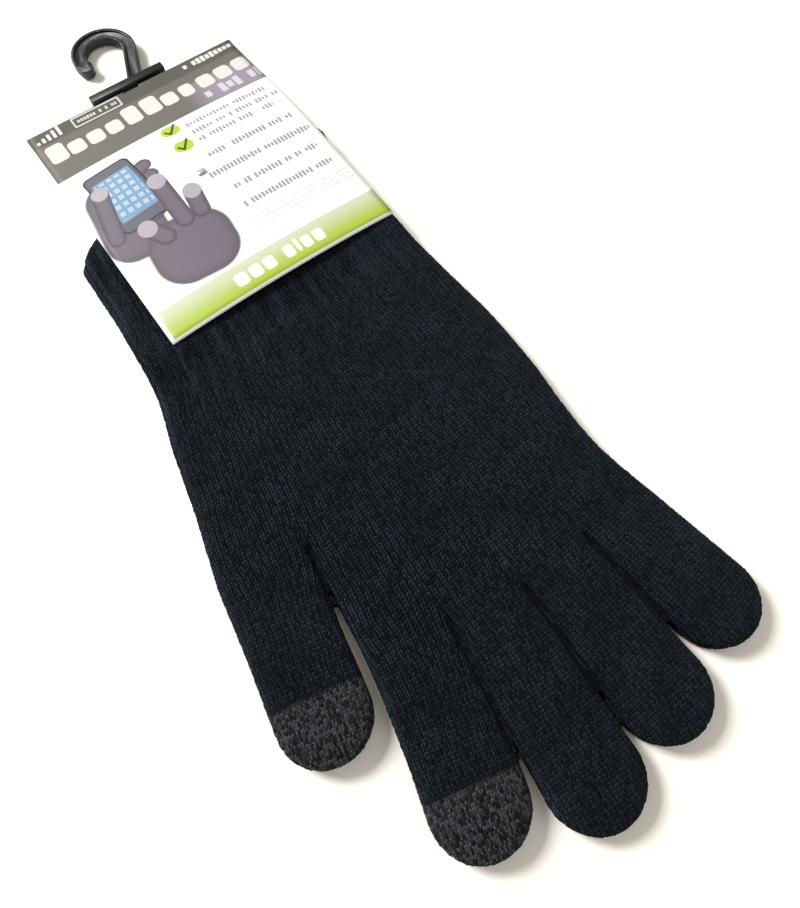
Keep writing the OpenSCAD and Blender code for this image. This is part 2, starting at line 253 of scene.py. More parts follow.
def glove_outline():
    mouth = [Vector((x, MOUTH_Y / MM - MOUTH_DROP * abs(x / MOUTH_LEFT) ** 4)) * MM
             for x in np.linspace(MOUTH_RIGHT, MOUTH_LEFT, 24)]
    sides = edge(THUMB_EDGE, SIDE_TOP, THUMB_EDGE[0][0], 26) + THUMB_ARC + [THUMB_CROTCH]
    sides += bellied(THUMB_CROTCH, INDEX_ARC[0], 2.0 * MM)
    sides += INDEX_ARC + notch(INDEX_SLIT) + MIDDLE_ARC + notch(MIDDLE_SLIT) + RING_ARC
    sides += notch(RING_SLIT) + LITTLE_ARC + edge(LITTLE_EDGE, LITTLE_EDGE[0][0], SIDE_TOP, 30)
    return sides, sides + mouth[1:-1]


def slit(crotch, before, after):
    return crotch, (before[-1] + after[0]) / 2


def notch(gap):
    """The fingertips part here: a narrow wedge that opens towards the tips."""
    crotch, foot = gap
    low, high = foot.lerp(crotch, 0.12), foot.lerp(crotch, 0.62)
    half = Vector((NOTCH_HALF, 0))
    return [low - half, high, low + half]


THUMB_SLIT = slit(THUMB_CROTCH, THUMB_ARC, [Vector((-44.4, -50)) * MM])
INDEX_SLIT = slit(INDEX_CROTCH, INDEX_ARC, MIDDLE_ARC)
MIDDLE_SLIT = slit(MIDDLE_CROTCH, MIDDLE_ARC, RING_ARC)
RING_SLIT = slit(RING_CROTCH, RING_ARC, LITTLE_ARC)
SIDES, OUTLINE = glove_outline()
print("outline", len(OUTLINE), "points")

# %% [markdown]
# ## From plate to knitted shell
#
# The plate is made of the outline by one extrusion. A voxel remesh turns it
# into even quads, which a cloth simulation needs. The distance from each point
# to the nearest edge or slit then rounds the plate over, so the fingers lie
# side by side with a groove between them.

# %% Plate and remesh
VOXEL = 0.66 * MM


def plate(name, outline, low, high):
    bm = bmesh.new()
    face = bm.faces.new([bm.verts.new((p.x, p.y, low)) for p in outline])
    lifted = bmesh.ops.extrude_face_region(bm, geom=[face])["geom"]
    top = [g for g in lifted if isinstance(g, bmesh.types.BMVert)]
    bmesh.ops.translate(bm, verts=top, vec=(0, 0, high - low))
    bmesh.ops.recalc_face_normals(bm, faces=bm.faces)
    return object_from(name, bm)


def apply_modifiers(piece):
    graph = bpy.context.evaluated_depsgraph_get()
    mesh = bpy.data.meshes.new_from_object(piece.evaluated_get(graph))
    piece.modifiers.clear()
    piece.data = mesh
    return piece


def remesh(piece, voxel):
    modifier = piece.modifiers.new("even_quads", "REMESH")
    modifier.mode = "VOXEL"
    modifier.voxel_size = voxel
    return apply_modifiers(piece)


def relax(piece, rounds):
    bm = bmesh.new()
    bm.from_mesh(piece.data)
    for _ in range(rounds):
        bmesh.ops.smooth_vert(bm, verts=bm.verts, factor=0.5,
                              use_axis_x=True, use_axis_y=True, use_axis_z=True)
    bm.to_mesh(piece.data)
    bm.free()
    return piece


def points_of(piece):
    spots = np.empty(len(piece.data.vertices) * 3)
    piece.data.vertices.foreach_get("co", spots)
    return spots.reshape(-1, 3)


def move_points(piece, spots):
    piece.data.vertices.foreach_set("co", spots.ravel())
    piece.data.update()


glove = remesh(plate("glove_blank", OUTLINE, UPPER_LOW, UPPER_HIGH), VOXEL)
relax(glove, 2)
print("glove blank", len(glove.data.vertices), "points")


# %% Round the plate over towards its edges and slits
def ease(share):
    share = np.clip(share, 0, 1)
    return share * share * (3 - 2 * share)


def distance_to(spots, a, b):
    a, b = np.array(a[:]), np.array(b[:])
    along = b - a
    share = np.clip(((spots - a) @ along) / (along @ along), 0, 1)
    return np.linalg.norm(spots - a - share[:, None] * along, axis=1)


def edge_distance(spots):
    flat = spots[:, :2]
    nearest = np.full(len(flat), 1.0)
    for a, b in list(zip(SIDES, SIDES[1:])) + [THUMB_SLIT, INDEX_SLIT, MIDDLE_SLIT, RING_SLIT]:
        nearest = np.minimum(nearest, distance_to(flat, a, b))
    return nearest


def crease_distance(flat):
    """Millimetres to the nearest slit between two digits."""
    nearest = np.full(len(flat), 1.0)
    for gap in (THUMB_SLIT, INDEX_SLIT, MIDDLE_SLIT, RING_SLIT):
        nearest = np.minimum(nearest, distance_to(flat[:, :2], *gap))
    return nearest / MM


ROUND = 2.6 * MM
RIM_SHARE = 0.08
FLAT = points_of(glove)
EDGE, CREASE = edge_distance(FLAT), crease_distance(FLAT)
reach = np.clip(EDGE / ROUND, 0, 1)
MID_Z = (UPPER_LOW + UPPER_HIGH) / 2
rounded = FLAT.copy()
rounded[:, 2] = MID_Z + (FLAT[:, 2] - MID_Z) * np.maximum(RIM_SHARE, np.sqrt(1 - (1 - reach) ** 2))
move_points(glove, rounded)
relax(glove, 2)
print("thinnest at an edge", round(THICK * RIM_SHARE / MM, 2), "mm")

# %% [markdown]
# ## Air in the glove
#
# Trapped air plumps the knit between its seams. The cloth simulation blows it
# up for a few frames, and the growth is then held to what the card and the
# other glove leave room for. Cloth works best at room scale, so the glove is
# simulated twenty times over and brought back.

# %% Blow the glove up a little
SIM_SCALE = 20
AIR_FRAMES = 5
PLUMP = 0.75 * MM
SPREAD = 0.2 * MM


def blow_up(piece):
    move_points(piece, points_of(piece) * SIM_SCALE)
    modifier = piece.modifiers.new("air", "CLOTH")
    cloth = modifier.settings
    cloth.quality = 4
    cloth.tension_stiffness = cloth.compression_stiffness = 15
    cloth.bending_stiffness = 0.5
    cloth.use_pressure = True
    cloth.uniform_pressure_force = 3
    cloth.effector_weights.gravity = 0
    modifier.collision_settings.use_collision = False
    modifier.point_cache.frame_end = AIR_FRAMES
    for number in range(1, AIR_FRAMES + 1):
        bpy.context.scene.frame_set(number)
    apply_modifiers(piece)
    bpy.context.scene.frame_set(1)
    move_points(piece, points_of(piece) / SIM_SCALE)


still = points_of(glove)
blow_up(glove)
growth = np.clip(points_of(glove) - still, (-SPREAD, -SPREAD, 0), (SPREAD, SPREAD, PLUMP))
print("grew by up to", np.abs(growth).max(0).round(5))


# %% Lay the two gloves one on the other
DRIFT = 0.014
RUMPLE = 0.22 * MM
HELD_FROM, HELD_RUN = 36 * MM, 12 * MM
LOOSE_STITCH, LOOSE_BAND = 0.14, 1.1 * MM
CREASE_CLEAR = 2.5
RAGGED = np.random.RandomState(11)


def lifted_by_card(spots):
    return CUFF_LIFT * ease((spots[:, 1] - WRIST_Y) / (10 * MM))


def rumple(spots):
    x, y = spots[:, 0] / MM, spots[:, 1] / MM
    waves = np.sin(x / 9 + 1.3 * np.sin(y / 31)) * np.cos(y / 17 + 0.8 * np.sin(x / 13))
    return RUMPLE * waves


def lay(name, drop, plumpness, drift):
    """Air and rumples stop where the card holds the knit; loose stitches roughen the outside."""
    spots = still.copy()
    free = 1 - ease((spots[:, 1] - HELD_FROM) / HELD_RUN)
    top = ease((spots[:, 2] - MID_Z) / (0.8 * MM))
    spots += growth * plumpness * free[:, None]
    spots[:, 2] += (rumple(spots) + 0.2 * MM) * top * free * plumpness
    spots[:, 2] += lifted_by_card(spots) - drop
    loose = RAGGED.uniform(-LOOSE_STITCH, LOOSE_STITCH, (len(spots), 2)) * MM
    outside = (EDGE < LOOSE_BAND) & (CREASE > CREASE_CLEAR)
    spots[:, :2] += loose * outside[:, None]
    spots[:, 0] -= drift * np.maximum(0, spots[:, 1] - KNUCKLE_Y)
    piece = new_object(name, glove.data.copy())
    move_points(piece, spots)
    return piece


right_glove = lay("right_glove", 0, 1, 0)
left_glove = lay("left_glove", UPPER_HIGH - LOWER_HIGH, 0, DRIFT)
print("gloves", right_glove.name, left_glove.name)

# %% [markdown]
# ## Where the wales run
#
# Knitting is drawn in its own coordinates: `u` counts wales across and `v`
# counts rows along, both in millimetres. In the palm the wales fan out towards
# the thumb, and each finger's wales follow that finger. The map is a formula on
# the flat plate, and it is mixed smoothly where two directions meet.

# %% Columns between the slits
CUT_Y = -42 * MM
THUMB_CUT = THUMB_FOLD + 5 * MM * THUMB_DIR
THUMB_PATH = [(-84, -55.5), (-62, -49.5), (-58, -47.8), (-51.3, -45.8), (-15.4, -39.5)]
INDEX_LEAN = math.radians(15)
INDEX_DIR = Vector((-math.sin(INDEX_LEAN), -math.cos(INDEX_LEAN)))
TIP_LINE = {"thumb": (THUMB_TIP - 5.5 * MM * THUMB_DIR, THUMB_DIR),
            "index": (INDEX_TIP - 5.3 * MM * INDEX_DIR, INDEX_DIR)}


def thumb_path_x(y):
    ys, xs = zip(*THUMB_PATH)
    return np.interp(y / MM, ys, xs) * MM


def slit_x(gap, y):
    crotch, foot = gap
    return np.interp(y, [foot.y, crotch.y], [foot.x, crotch.x])


def along(spots, base, direction):
    return (spots[..., 0] - base.x) * direction.x + (spots[..., 1] - base.y) * direction.y


def which_digit(flat):
    """0 thumb, 1 index, 2 middle, 3 ring, 4 little, by column alone."""
    x, y = flat[..., 0], flat[..., 1]
    column = np.ones(x.shape, int)
    for gap in (INDEX_SLIT, MIDDLE_SLIT, RING_SLIT):
        column += x > slit_x(gap, y)
    return np.where((x < thumb_path_x(y)) & (along(flat, THUMB_FOLD, THUMB_DIR) > -12 * MM),
                    0, column)


print("columns", np.bincount(which_digit(FLAT)))


# %% The knit map
DIGIT_BASES = [(THUMB_FOLD, THUMB_TIP), (Vector((-33, -50)) * MM, INDEX_TIP),
               (Vector((-12, -50)) * MM, MIDDLE_TIP), (Vector((8, -50)) * MM, RING_TIP),
               (Vector((28.5, -50)) * MM, LITTLE_TIP)]


def palm_map(x, y):
    left = np.interp(y / MM, *zip((-62, -74), *THUMB_EDGE)) * MM
    right = np.interp(y / MM, *zip(*LITTLE_EDGE)) * MM
    share = np.clip((right - x) / (right - left), 0, 1) ** 1.5
    return x - (left - MOUTH_LEFT * MM) * share, y


def knit_map(flat):
    x, y = flat[:, 0], flat[:, 1]
    u, v = palm_map(x, y)
    digit = which_digit(flat)
    for number, (base, tip) in enumerate(DIGIT_BASES):
        down = (tip - base).normalized()
        across = Vector((-down.y, down.x))
        base_u, base_v = palm_map(np.array(base.x), np.array(base.y))
        reach = along(flat, base, down)
        share = ease((reach + 10 * MM) / (26 * MM)) * (digit == number)
        u = u + share * (base_u + along(flat, base, across) - u)
        v = v + share * (base_v - reach - v)
    return np.stack([u, v], 1) / MM


def past_line(flat):
    """Millimetres past the nearest colour line; negative in the black knit."""
    digit = which_digit(flat)
    thumb, index = (along(flat, *TIP_LINE[name]) / MM for name in ("thumb", "index"))
    return np.where(digit == 0, thumb, np.where(digit == 1, index, -60))


print("wales run", knit_map(FLAT)[:, 0].min().round(1), "to", knit_map(FLAT)[:, 0].max().round(1))

# %% [markdown]
# ## Cutting the gloves into pieces
#
# Each joint needs its own piece. The cuts are made once, on the flat plate,
# where every cut is a straight plane, and both laid-out shapes ride along as
# vertex layers. The faces are then sorted by their centres, and each piece is
# lifted into place and its cut ends are closed.

# %% Make the cuts on the flat plate
CUT_REACH = 2 * MM
TIP_CUT_WIDTH = 16 * MM


def bisect_near(bm, near, point, normal):
    faces = [f for f in bm.faces if near(f.calc_center_median())]
    edges = {e for f in faces for e in f.edges}
    verts = {v for f in faces for v in f.verts}
    bmesh.ops.bisect_plane(bm, geom=[*verts, *edges, *faces], dist=1e-7,
                           plane_co=point.to_3d(), plane_no=normal.to_3d())


def cut_plate(bm):
    across_all = Vector((0, 1))
    bisect_near(bm, lambda c: abs(c.y - WRIST_Y) < CUT_REACH, Vector((0, WRIST_Y)), across_all)
    bisect_near(bm, lambda c: abs(c.y - CUT_Y) < CUT_REACH and c.x > thumb_path_x(c.y),
                Vector((0, CUT_Y)), across_all)
    bisect_near(bm, lambda c: abs((c.xy - THUMB_CUT).dot(THUMB_DIR)) < CUT_REACH
                and c.x < THUMB_CROTCH.x + MM, THUMB_CUT, THUMB_DIR)
    for gap in (THUMB_SLIT, INDEX_SLIT, MIDDLE_SLIT, RING_SLIT):
        crotch, foot = gap
        run = foot - crotch
        side = Vector((-run.y, run.x))
        bisect_near(bm, lambda c: abs(c.x - slit_x(gap, c.y)) < CUT_REACH
                    and foot.y - 8 * MM < c.y < crotch.y, crotch, side)
        if gap != THUMB_SLIT:
            bisect_near(bm, lambda c: abs(c.x - crotch.x) < CUT_REACH
                        and crotch.y - MM < c.y < CUT_Y, crotch, Vector((1, 0)))
    for point, normal in TIP_LINE.values():
        bisect_near(bm, lambda c: (c.xy - point).length < TIP_CUT_WIDTH
                    and abs((c.xy - point).dot(normal)) < CUT_REACH, point, normal)


def piece_at(centre):
    flat = np.array(centre[:2])
    if centre.y > WRIST_Y:
        return "cuff"
    digit = int(which_digit(flat))
    if digit == 0:
        if along(flat, THUMB_CUT, THUMB_DIR) < 0:
            return "palm"
        return "thumb_tip" if along(flat, *TIP_LINE["thumb"]) > 0 else "thumb"
    if centre.y > CUT_Y:
        return "palm"
    if digit == 1 and along(flat, *TIP_LINE["index"]) > 0:
        return "index_tip"
    return ("index_finger", "middle_finger", "ring_finger", "little_finger")[digit - 1]


def prepare_plate():
    bm = bmesh.new()
    bm.from_mesh(glove.data)
    uv = bm.loops.layers.uv.new("knit")
    past = bm.verts.layers.float.new("past")
    # The distance to the slits between the digits, which the yarn uses for painted shade in the
    # grooves.
    crevice = bm.verts.layers.float.new("crevice")
    laid = {g.name: bm.verts.layers.float_vector.new(g.name) for g in (right_glove, left_glove)}
    wales, beyond = knit_map(FLAT), past_line(FLAT)
    shapes = {name: points_of(bpy.data.objects[name]) for name in laid}
    for vert in bm.verts:
        vert[past] = beyond[vert.index]
        vert[crevice] = CREASE[vert.index]
        for name, layer in laid.items():
            vert[layer] = shapes[name][vert.index]
        vert.co = FLAT[vert.index]
        for loop in vert.link_loops:
            loop[uv].uv = wales[vert.index]
    cut_plate(bm)
    return bm


cut_glove = prepare_plate()
print("cut plate", len(cut_glove.faces), "faces")


# %% Lift each piece out and close its ends
def corners_of(rims):
    """Rim points where the cut turns, seen from above."""
    found = []
    for vert in {v for e in rims for v in e.verts}:
        ways = [e.other_vert(vert).co.xy - vert.co.xy for e in vert.link_edges if e.is_boundary]
        if len(ways) == 2 and ways[0].angle(ways[1], math.pi) < math.radians(165):
            found.append(vert)
    return found


def close_ends(bm):
    rims = [e for e in bm.edges if e.is_boundary]
    corners = corners_of(rims)
    uprights = []
    for number, vert in enumerate(corners):
        for other in corners[number + 1:]:
            if (vert.co.xy - other.co.xy).length < 0.02 * MM and not bm.edges.get((vert, other)):
                uprights.append(bm.edges.new((vert, other)))
    bmesh.ops.edgenet_fill(bm, edges=rims + uprights)
    for rim in rims + uprights:
        rim.smooth = False


def lift_piece(name, label, glove_name, labels):
    bm = cut_glove.copy()
    others = [f for f, found in zip(bm.faces, labels) if found != label]
    bmesh.ops.delete(bm, geom=others, context="FACES")
    close_ends(bm)
    bmesh.ops.recalc_face_normals(bm, faces=bm.faces)
    layer = bm.verts.layers.float_vector[glove_name]
    for vert in bm.verts:
        vert.co = vert[layer]
    for face in bm.faces:
        face.smooth = True
    open_edges = sum(e.is_boundary for e in bm.edges)
    if open_edges:
        print(name, "has", open_edges, "open edges")
    return object_from(name, bm)


LABELS = ("cuff", "palm", "thumb", "thumb_tip", "index_finger", "index_tip",
          "middle_finger", "ring_finger", "little_finger")
labels = [piece_at(face.calc_center_median()) for face in cut_glove.faces]
knit_pieces = {}
for side in ("right", "left"):
    for label in LABELS:
        name = f"{side}_knit_{label}"
        knit_pieces[side, label] = lift_piece(name, label, f"{side}_glove", labels)
cut_glove.free()
for whole in (glove, right_glove, left_glove):
    bpy.data.objects.remove(whole)
print("pieces", {label: labels.count(label) for label in LABELS})

# %% [markdown]
# ## The cuff's opening
#
# The cuffs are open at the mouth. A thin slab, cut from the same edges but
# pulled in by the knit's thickness, is subtracted from each cuff, and so is
# the fine hole that the tag pin passes through.

# %% Hollow the cuffs
KNIT_WALL = 1.05 * MM
CAVITY_INSET = 1.9
CAVITY_FROM, CAVITY_TO = 58, 112
PIN_HOLE_R = 0.6 * MM
PIN_HOLE_LENGTH = 0.06
PIN_LOW, PIN_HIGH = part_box("tag_pin")
PIN_SPOT = (PIN_LOW + PIN_HIGH) / 2


def cavity_slab(low, drift):
    ys = np.linspace(CAVITY_FROM, CAVITY_TO, 12)
    slip = drift * (ys - KNUCKLE_Y / MM)
    left = np.interp(ys, *zip(*THUMB_EDGE)) - slip + CAVITY_INSET
    right = np.interp(ys, *zip(*LITTLE_EDGE)) - slip - CAVITY_INSET
    around = [*zip(left, ys), *reversed([*zip(right, ys)])]
    run = [Vector(spot) * MM for spot in around]
    return plate("cavity", run, low, low + THICK - 2 * KNIT_WALL)


def pin_hole_cutter():
    bm = bmesh.new()
    bmesh.ops.create_cone(bm, segments=12, radius1=PIN_HOLE_R, radius2=PIN_HOLE_R,
                          depth=PIN_HOLE_LENGTH, cap_ends=True)
    bmesh.ops.translate(bm, verts=bm.verts, vec=(PIN_SPOT.x, PIN_SPOT.y, 0))
    return object_from("pin_hole", bm)


def subtract(piece, cutter):
    modifier = piece.modifiers.new("cut", "BOOLEAN")
    modifier.object = cutter
    modifier.operation = "DIFFERENCE"
    modifier.solver = "EXACT"
    apply_modifiers(piece)
    bpy.data.objects.remove(cutter)


for side, drift in (("right", 0), ("left", DRIFT)):
    cuff = knit_pieces[side, "cuff"]
    floor_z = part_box(f"{side}_glove_cuff")[0].z + CUFF_LIFT + KNIT_WALL
    subtract(cuff, cavity_slab(floor_z, drift))
    subtract(cuff, pin_hole_cutter())
    print(cuff.name, len(cuff.data.polygons), "faces")

# %% [markdown]
# ## Hanging the cuffs and tips on their bodies
#
# The cuffs are pinned to the card, so they move with it. The palm, the thumb
# and the fingers get their place baked into their points, and the grey tips of
# the thumb and the index finger are attached to those digits' bodies.


def hang_glove(side):
    pieces = {label: knit_pieces[side, label] for label in LABELS}
    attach(pieces["cuff"], "card_pack")
    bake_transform(pieces["palm"])
    for digit in ("index", "middle", "ring", "little"):
        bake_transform(pieces[f"{digit}_finger"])
    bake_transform(pieces["thumb"])
    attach(pieces["thumb_tip"], f"{side}_thumb")
    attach(pieces["index_tip"], f"{side}_index")
    for label, piece in pieces.items():
        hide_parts(f"{side}_glove_{label}")


for side in ("right", "left"):
    hang_glove(side)
print("hung", len(knit_pieces), "knit pieces")

# %% [markdown]
# ## The knit
#
# One node group draws the knit and every yarn shares it. Each stitch is a
# small V, so within one wale the two legs lean together. The group gives the
# stitch's height for a bump and for painted light and shade, lighter on the
# stitch tops and darker in the grooves, and a random value for each strand of
# yarn, which mixes the heather. A little noise bends the wales, as no fabric
# lies perfectly straight.

# %% Helpers for building node groups
class Wiring:
    """Adds nodes to one tree, with constants or links as inputs."""

    def __init__(self, tree):
        self.tree = tree

    def node(self, kind, *values, **settings):
        made = self.tree.nodes.new(kind)
        for key, value in settings.items():
            setattr(made, key, value)
        for socket, value in zip(made.inputs, values):
            self.feed(socket, value)
        return made

    def feed(self, socket, value):
        if isinstance(value, bpy.types.NodeSocket):
            self.tree.links.new(value, socket)
        elif value is not None:
            socket.default_value = value

    def math(self, operation, *values, clamp=False):
        return self.node("ShaderNodeMath", *values, operation=operation, use_clamp=clamp).outputs[0]

    def vector(self, operation, *values):
        made = self.node("ShaderNodeVectorMath", operation=operation)
        for socket, value in zip(made.inputs, values):
            self.feed(socket, value)
        single = operation in {"DOT_PRODUCT", "LENGTH", "DISTANCE"}
        return made.outputs["Value" if single else "Vector"]

    def split(self, vector):
        return self.node("ShaderNodeSeparateXYZ", vector).outputs

    def join(self, x, y, z=0.0):
        return self.node("ShaderNodeCombineXYZ", x, y, z).outputs[0]

    def noise(self, vector, scale, detail=2.0, roughness=0.5):
        made = self.node("ShaderNodeTexNoise")
        self.feed(made.inputs["Vector"], vector)
        for name, value in (("Scale", scale), ("Detail", detail), ("Roughness", roughness)):
            self.feed(made.inputs[name], value)
        return made.outputs["Fac"]

    def ramp(self, value, low, high, to_low=0.0, to_high=1.0):
        made = self.node("ShaderNodeMapRange", value, low, high, to_low, to_high)
        made.interpolation_type = "SMOOTHSTEP"
        return made.outputs[0]

    def mix(self, share, first, second):
        made = self.node("ShaderNodeMix", data_type="RGBA")
        for name, value in (("Factor_Float", share), ("A_Color", first), ("B_Color", second)):
            self.feed(next(s for s in made.inputs if s.identifier == name), value)
        return next(s for s in made.outputs if s.identifier == "Result_Color")

    def group(self, tree, **values):
        made = self.tree.nodes.new("ShaderNodeGroup")
        made.node_tree = tree
        for name, value in values.items():
            self.feed(made.inputs[name.replace("_", " ")], value)
        return made.outputs


def new_group(name, inputs, outputs):
    tree = bpy.data.node_groups.new(name, "ShaderNodeTree")
    for label, kind, value in inputs:
        socket = tree.interface.new_socket(label, in_out="INPUT", socket_type=kind)
        if value is not None:
            socket.default_value = value
    for label, kind in outputs:
        tree.interface.new_socket(label, in_out="OUTPUT", socket_type=kind)
    given = tree.nodes.new("NodeGroupInput").outputs
    result = tree.nodes.new("NodeGroupOutput").inputs
    return tree, Wiring(tree), given, result


print("ready to wire")


# %% The knit group
def make_knit():
    tree, w, given, result = new_group(
        "knit",
        [("Vector", "NodeSocketVector", None), ("Wale", "NodeSocketFloat", 1.3),
         ("Course", "NodeSocketFloat", 1.0), ("Wobble", "NodeSocketFloat", 0.45)],
        [("Height", "NodeSocketFloat"), ("Strand", "NodeSocketFloat")])
    u, v, _ = w.split(given["Vector"])
    drift = w.math("SUBTRACT", w.noise(given["Vector"], 0.07, 3), 0.5)
    u = w.math("MULTIPLY_ADD", drift, w.math("MULTIPLY", given["Wobble"], 4.0), u)
    jitter = w.math("SUBTRACT", w.noise(given["Vector"], 0.9, 1), 0.5)
    u = w.math("MULTIPLY_ADD", jitter, given["Wobble"], u)
    wales = w.math("DIVIDE", u, given["Wale"])
    inside = w.math("FRACT", wales)
    lean = w.math("ABSOLUTE", w.math("SUBTRACT", inside, 0.5))
    rows = w.math("ADD", w.math("DIVIDE", v, given["Course"]), w.math("MULTIPLY", lean, 1.1))
    rows = w.math("MULTIPLY_ADD", jitter, 0.5, rows)
    leg = w.math("ABSOLUTE", w.math("SINE", w.math("MULTIPLY", inside, 2 * math.pi)))
    loop = w.math("SINE", w.math("MULTIPLY", w.math("FRACT", rows), math.pi))
    height = w.math("MULTIPLY", w.math("POWER", leg, 0.6), w.math("MULTIPLY_ADD", loop, 0.6, 0.4))
    groove = w.ramp(lean, 0.26, 0.46)
    height = w.math("MULTIPLY", height, w.math("MULTIPLY_ADD", groove, -0.6, 1.0))
    half = w.join(w.math("FLOOR", w.math("MULTIPLY", wales, 2.0)), w.math("FLOOR", rows))
    w.feed(result["Height"], height)
    w.feed(result["Strand"], w.node("ShaderNodeTexWhiteNoise", half).outputs["Value"])
    return tree


KNIT = make_knit()
print("knit group", [s.name for s in KNIT.interface.items_tree])


# %% Black and heather yarn
SHEEN = (0.62, 0.72, 0.85, 1)
BUMP_DEPTH = 0.45 * MM
ROW_SHARE = 0.77


def gathers_and_rib_shade(w, vector):
    """Soft ribs beside the card, where the cuff pulls the knit in; strongest at the cuff. They give
    a bump and also painted light and shade, lighter on the crests and darker in the hollows.
    """
    place = w.node("ShaderNodeTexCoord").outputs["Object"]
    height = w.split(place)[1]
    strength = w.ramp(height, 0.018, 0.052)
    u, v, _ = w.split(vector)
    rib_folds_and_shade = w.noise(w.join(w.math("MULTIPLY", u, 0.42), w.math("MULTIPLY", v, 0.035)), 1.0, 3, 0.6)
    return w.math("MULTIPLY", w.math("SUBTRACT", rib_folds_and_shade, 0.5), strength)


def yarn_material(name, dark, light, pitch, heather):
    material, tree, paint = new_material(name)
    w = Wiring(tree)
    vector = w.node("ShaderNodeUVMap", uv_map="knit").outputs["UV"]
    knit = w.group(KNIT, Vector=vector, Wale=pitch, Course=pitch * ROW_SHARE)
    rib_folds_and_shade = gathers_and_rib_shade(w, vector)
    fibre = w.noise(w.vector("MULTIPLY", vector, (3.4, 2.2, 1.0)), 1.0, 2, 0.7)
    # Painted light and shade: the stitch's high parts are coloured lighter and the grooves between
    # wales darker.
    lit = w.math("POWER", knit["Height"], 1.5)
    if heather:
        mixed = w.math("MULTIPLY_ADD", knit["Strand"], 0.6, w.math("MULTIPLY", fibre, 0.4))
        share = w.math("MULTIPLY", w.ramp(mixed, 0.2, 0.85), w.math("MULTIPLY_ADD", lit, 0.7, 0.3))
        past = w.node("ShaderNodeAttribute", attribute_name="past").outputs["Fac"]
        ragged = w.math("MULTIPLY_ADD", knit["Strand"], -1.3, past)
        share = w.math("MULTIPLY", share, w.ramp(ragged, -0.5, 0.3))
    else:
        wear = w.noise(vector, 0.09, 4, 0.6)
        strand = w.math("MULTIPLY_ADD", knit["Strand"], 0.5, w.math("MULTIPLY", fibre, 0.7))
        share = w.math("MULTIPLY", lit, w.ramp(strand, 0.22, 0.8, 0.08, 1.0))
        share = w.math("MULTIPLY", share, w.ramp(wear, 0.3, 0.75, 0.5, 1.0))
        # Painted light and shade on the ribs: the colour is lighter on their crests and darker in
        # their hollows, besides their bump.
        share = w.math("ADD", share, w.math("MULTIPLY", rib_folds_and_shade, 1.1), clamp=True)
    colour = w.mix(share, dark, light)
    # Painted shade: the knit's colour darkens towards the slits between the digits, down to 8 % at a
    # slit, where shadow falls in the grooves.
    crevice = w.node("ShaderNodeAttribute", attribute_name="crevice").outputs["Fac"]
    shade = w.ramp(crevice, 0.3, 1.7, 0.08, 1.0)
    shaded = w.node("ShaderNodeHueSaturation", 0.5, 1.0, shade, 1.0, colour).outputs[0]
    w.feed(paint.inputs["Base Color"], shaded)
    paint.inputs["Roughness"].default_value = 0.95
    paint.inputs["Specular IOR Level"].default_value = 0.05
    paint.inputs["Sheen Weight"].default_value = 0.035
    paint.inputs["Sheen Roughness"].default_value = 0.5
    paint.inputs["Sheen Tint"].default_value = SHEEN
    bump = w.node("ShaderNodeBump")
    fuzz = w.math("MULTIPLY_ADD", fibre, 0.5, knit["Height"])
    w.feed(bump.inputs["Height"], w.math("MULTIPLY_ADD", rib_folds_and_shade, 9.0, fuzz))
    bump.inputs["Distance"].default_value = BUMP_DEPTH
    bump.inputs["Strength"].default_value = 1.0
    w.feed(paint.inputs["Normal"], bump.outputs["Normal"])
    return material


black_yarn = yarn_material("black_knit", (0.0008, 0.0011, 0.0017, 1),
                            (0.0285, 0.043, 0.063, 1), 1.3, False)
grey_yarn = yarn_material("heather_knit", (0.005, 0.0055, 0.007, 1),
                           (0.092, 0.099, 0.112, 1), 1.1, True)
for (side, label), piece in knit_pieces.items():
    piece.data.materials.append(grey_yarn if label.endswith("tip") else black_yarn)
print("yarns", black_yarn.name, grey_yarn.name)

# %% [markdown]
# ## The header card
#
# The card is one strip of board, folded over the hanger's bar. A grid gives it
# its rows and columns. Each row is carried to its place along the folded path,
# and its map keeps the flat print's millimetres.

# %% Fold the board
CARD_LOW, CARD_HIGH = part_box("header_card")
BOARD = 0.4 * MM
BACK_Z = CARD_LOW.z
FOLD_R = 1.3 * MM
FOLD_Y = CARD_HIGH.y - FOLD_R
BOW = 1.6 * MM
FRONT_Z = CARD_HIGH.z - BOW
RISE_END = MOUTH_Y - 0.5 * MM
PRINT_Y = 100 * MM


def board_path():
    """Rows as (y, z, bow, print height): up the back, round the fold, down the front."""
    rows = [(y, BACK_Z, 0, -0.3) for y in np.linspace(CARD_LOW.y, FOLD_Y, 8)]
    for turn in np.linspace(-90, 90, 17)[1:]:
        a = math.radians(turn)
        rows.append((FOLD_Y + FOLD_R * math.cos(a), BACK_Z + FOLD_R * (1 + math.sin(a)), 0,
                     FOLD_Y - PRINT_Y + math.radians(90 - turn) * FOLD_R))
    for share in np.linspace(0, 1, 40)[1:]:
        lift = float(ease(share))
        y = FOLD_Y + (RISE_END - FOLD_Y) * share
        rows.append((y, BACK_Z + 2 * FOLD_R + (FRONT_Z - BACK_Z - 2 * FOLD_R) * lift,
                     BOW * lift, y - PRINT_Y))
    for y in np.linspace(RISE_END, CARD_LOW.y, 20)[1:]:
        rows.append((y, FRONT_Z, BOW, y - PRINT_Y))
    return rows


